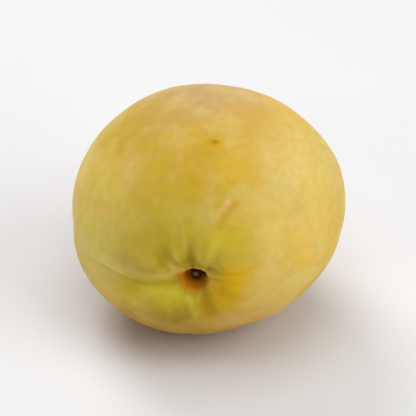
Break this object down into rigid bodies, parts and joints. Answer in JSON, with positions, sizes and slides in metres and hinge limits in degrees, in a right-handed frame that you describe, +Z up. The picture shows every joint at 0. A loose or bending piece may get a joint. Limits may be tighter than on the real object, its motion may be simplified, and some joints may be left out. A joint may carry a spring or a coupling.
{
  "type": "apricot",
  "caption": "Whole pale yellow-green apricot lying on its cheek, with a seam groove, a puckered stalk cavity and a torn stalk stub. Stocks a fruit bowl, stall or still life.",
  "frame": {"origin": "under the middle of the fruit, on the surface that it lies on", "axes": "+Z up; -Y the way the stalk end faces; +X to the right when the stalk end is looked at, with the seam on the -X side"},
  "size_m": [0.0446, 0.04, 0.0396],
  "materials": {
    "skin": "thin downy fruit skin, pale cream-yellow turning olive and lime green round the stalk, with a soft broad sheen",
    "stalk": "dry dark brown torn wood with a pale pith"
  },
  "bodies": {
    "root": {"fruit": "skin", "stem_stub": "stalk"}
  },
  "joints": []
}
